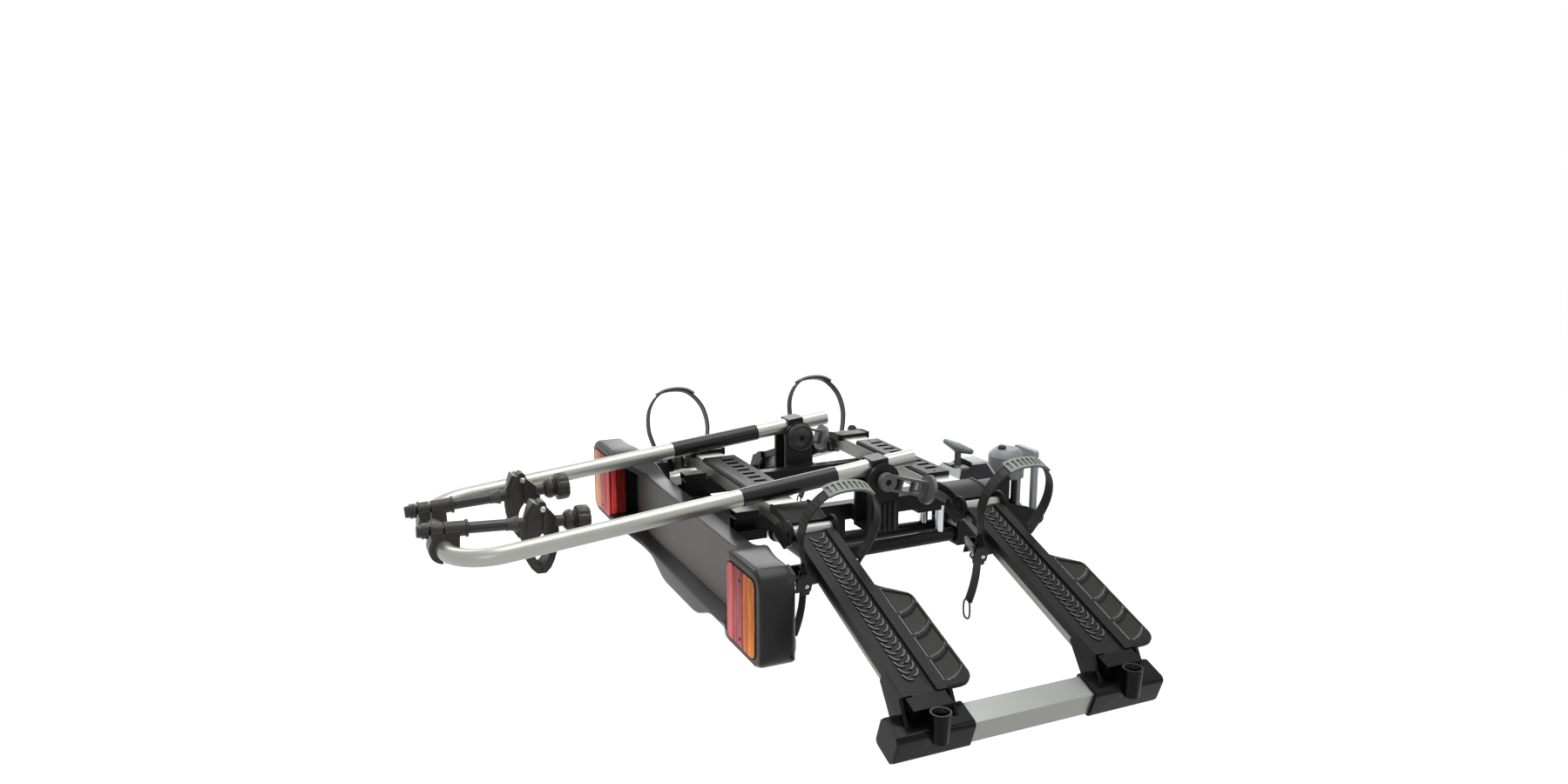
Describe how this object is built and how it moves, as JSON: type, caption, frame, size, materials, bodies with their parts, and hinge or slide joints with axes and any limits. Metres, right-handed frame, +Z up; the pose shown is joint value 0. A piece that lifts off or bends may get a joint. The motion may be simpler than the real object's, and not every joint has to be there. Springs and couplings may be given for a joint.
{
  "type": "towing ball bicycle rack",
  "caption": "Bicycle rack for a tow ball: wheel trays with folding ends and straps, a light board, a folding U mast with frame clamps, and a tilting platform on a ball coupling.",
  "frame": {"origin": "centre of the tow ball that the coupling holds", "axes": "+X to the right seen from behind the car, +Y towards the car, +Z up; the trays run along X"},
  "size_m": [1.4386, 1.2841, 0.3338],
  "materials": {
    "black plastic": "fine grained",
    "dark board": "satin moulded",
    "black steel": "powder coated",
    "satin aluminium": "satin anodised",
    "bright steel": "zinc plated",
    "grey coupling": "satin moulded",
    "cast steel": "painted casting",
    "number panel": "flat",
    "lamp red": "clear ribbed",
    "strap plastic": "ribbed flexible",
    "lever grey": "satin moulded"
  },
  "bodies": {
    "chassis": {"coupling_frame": "black steel", "chassis_tubes": "black steel", "tilt_cross_tube": "black steel", "ball_cup": "cast steel", "coupling_hood": "grey coupling", "rest_posts": "bright steel"},
    "ball_jaw": {"ball_jaw": "cast steel"},
    "clamp_lever": {"clamp_lever": "grey coupling"},
    "lock_barrel": {"lock_barrel": "bright steel"},
    "release_handle": {"release_handle": "grey coupling"},
    "platform": {"side_bars": "black steel", "rear_rail": "satin aluminium", "front_rail": "satin aluminium", "rear_rail_cover": "black plastic", "front_rail_cover": "black plastic", "inner_trays": "black plastic", "fold_brackets_right": "black steel", "fold_brackets_left": "black steel", "tilt_ears": "black steel", "rear_deck": "black steel", "board_boxes": "satin aluminium", "latch_tongue": "black steel", "light_board": "dark board", "number_panel": "number panel", "lamp_bases": "black plastic", "lamp_lens_right": "lamp red", "lamp_lens_left": "lamp red", "mast_brackets": "black plastic", "pivot_caps": "black plastic"},
    "release_lever_right": {"release_lever_right": "lever grey"},
    "release_lever_left": {"release_lever_left": "lever grey"},
    "mast": {"mast_tube": "satin aluminium", "mast_sleeves": "black plastic", "mast_feet": "black plastic"},
    "clamp_arm_right": {"clamp_band_right": "black plastic", "clamp_rod_right": "black plastic"},
    "clamp_head_right": {"fixed_jaw_right": "black plastic"},
    "clamp_jaw_right": {"moving_jaw_right": "black plastic"},
    "clamp_knob_right": {"clamp_knob_right": "black plastic"},
    "arm_right": {"arm_rails_right": "satin aluminium", "trays_right": "black plastic", "end_blocks_right": "black plastic", "end_tube_right": "satin aluminium", "straps_right": "strap plastic", "buckles_right": "black plastic"},
    "buckle_lever_rear_right": {"buckle_lever_rear_right": "lever grey"},
    "buckle_lever_front_right": {"buckle_lever_front_right": "lever grey"},
    "clamp_arm_left": {"clamp_band_left": "black plastic", "clamp_rod_left": "black plastic"},
    "clamp_head_left": {"fixed_jaw_left": "black plastic"},
    "clamp_jaw_left": {"moving_jaw_left": "black plastic"},
    "clamp_knob_left": {"clamp_knob_left": "black plastic"},
    "arm_left": {"arm_rails_left": "satin aluminium", "trays_left": "black plastic", "end_blocks_left": "black plastic", "end_tube_left": "satin aluminium", "straps_left": "strap plastic", "buckles_left": "black plastic"},
    "buckle_lever_rear_left": {"buckle_lever_rear_left": "lever grey"},
    "buckle_lever_front_left": {"buckle_lever_front_left": "lever grey"}
  },
  "joints": [
    {"name": "clamp_lever_swing", "type": "hinge", "parent": "chassis", "child": "clamp_lever", "pos_m": [0, 0.052, -0.112], "axis": [-1, 0, 0], "range_deg": [0, 70]},
    {"name": "ball_jaw_slide", "type": "slide", "parent": "chassis", "child": "ball_jaw", "axis": [0, 1, 0], "range_m": [0, 0.007]},
    {"name": "lock_turn", "type": "hinge", "parent": "chassis", "child": "lock_barrel", "pos_m": [0, -0.012, 0.03], "axis": [0, 0, 1], "range_deg": [0, 90]},
    {"name": "release_handle_pull", "type": "slide", "parent": "chassis", "child": "release_handle", "axis": [0, 0, 1], "range_m": [0, 0.018], "stiffness_N_per_m": 400, "springref_m": -0.01},
    {"name": "platform_tilt", "type": "hinge", "parent": "chassis", "child": "platform", "pos_m": [0, -0.475, -0.125], "axis": [1, 0, 0], "range_deg": [0, 35]},
    {"name": "mast_fold", "type": "hinge", "parent": "platform", "child": "mast", "pos_m": [0, -0.415, 0.067], "axis": [-1, 0, 0], "range_deg": [0, 96]},
    {"name": "release_lever_right_swing", "type": "hinge", "parent": "platform", "child": "release_lever_right", "pos_m": [0.2195, -0.415, 0.067], "axis": [1, 0, 0], "range_deg": [0, 70]},
    {"name": "clamp_arm_right_swing", "type": "hinge", "parent": "mast", "child": "clamp_arm_right", "pos_m": [0.075, -1.17314, 0.00944], "axis": [1, 0, 0], "range_deg": [-40, 100]},
    {"name": "clamp_head_right_turn", "type": "hinge", "parent": "clamp_arm_right", "child": "clamp_head_right", "pos_m": [0.075, -1.01084, 0.02997], "axis": [0, 0.9986, -0.0523], "range_deg": [-60, 60]},
    {"name": "clamp_jaw_right_open", "type": "hinge", "parent": "clamp_head_right", "child": "clamp_jaw_right", "pos_m": [0.075, -1.00916, 0.06193], "axis": [1, 0, 0], "range_deg": [0, 30]},
    {"name": "clamp_knob_right_turn", "type": "hinge", "parent": "clamp_jaw_right", "child": "clamp_knob_right", "pos_m": [0.075, -1.01084, 0.02997], "axis": [0, 0.9986, -0.0523], "continuous": true},
    {"name": "arm_right_fold", "type": "hinge", "parent": "platform", "child": "arm_right", "pos_m": [0.285, -0.43, 0.02253], "axis": [0, -1, 0], "range_deg": [0, 110]},
    {"name": "buckle_lever_rear_right_open", "type": "hinge", "parent": "arm_right", "child": "buckle_lever_rear_right", "pos_m": [0.3553, -0.659, -0.03285], "axis": [0.9397, 0, -0.342], "range_deg": [0, 60], "stiffness_Nm_per_rad": 0.05, "springref_deg": -22.92},
    {"name": "buckle_lever_front_right_open", "type": "hinge", "parent": "arm_right", "child": "buckle_lever_front_right", "pos_m": [0.3553, -0.319, -0.03285], "axis": [0.9397, 0, -0.342], "range_deg": [0, 60], "stiffness_Nm_per_rad": 0.05, "springref_deg": -22.92},
    {"name": "release_lever_left_swing", "type": "hinge", "parent": "platform", "child": "release_lever_left", "pos_m": [-0.2195, -0.415, 0.067], "axis": [1, 0, 0], "range_deg": [0, 70]},
    {"name": "clamp_arm_left_swing", "type": "hinge", "parent": "mast", "child": "clamp_arm_left", "pos_m": [-0.056, -1.17314, 0.00944], "axis": [1, 0, 0], "range_deg": [-40, 100]},
    {"name": "clamp_head_left_turn", "type": "hinge", "parent": "clamp_arm_left", "child": "clamp_head_left", "pos_m": [-0.056, -1.01387, 0.04682], "axis": [0, 0.9986, 0.0523], "range_deg": [-60, 60]},
    {"name": "clamp_jaw_left_open", "type": "hinge", "parent": "clamp_head_left", "child": "clamp_jaw_left", "pos_m": [-0.056, -1.01555, 0.07878], "axis": [1, 0, 0], "range_deg": [0, 30]},
    {"name": "clamp_knob_left_turn", "type": "hinge", "parent": "clamp_jaw_left", "child": "clamp_knob_left", "pos_m": [-0.056, -1.01387, 0.04682], "axis": [0, 0.9986, 0.0523], "continuous": true},
    {"name": "arm_left_fold", "type": "hinge", "parent": "platform", "child": "arm_left", "pos_m": [-0.285, -0.43, 0.02253], "axis": [0, 1, 0], "range_deg": [0, 110]},
    {"name": "buckle_lever_rear_left_open", "type": "hinge", "parent": "arm_left", "child": "buckle_lever_rear_left", "pos_m": [-0.3553, -0.659, -0.03285], "axis": [0.9397, 0, 0.342], "range_deg": [0, 60], "stiffness_Nm_per_rad": 0.05, "springref_deg": -22.92},
    {"name": "buckle_lever_front_left_open", "type": "hinge", "parent": "arm_left", "child": "buckle_lever_front_left", "pos_m": [-0.3553, -0.319, -0.03285], "axis": [0.9397, 0, 0.342], "range_deg": [0, 60], "stiffness_Nm_per_rad": 0.05, "springref_deg": -22.92}
  ],
  "couplings": [
    {"joint": "ball_jaw_slide", "follows": "clamp_lever_swing", "m_per_rad": 0.0057295}
  ]
}
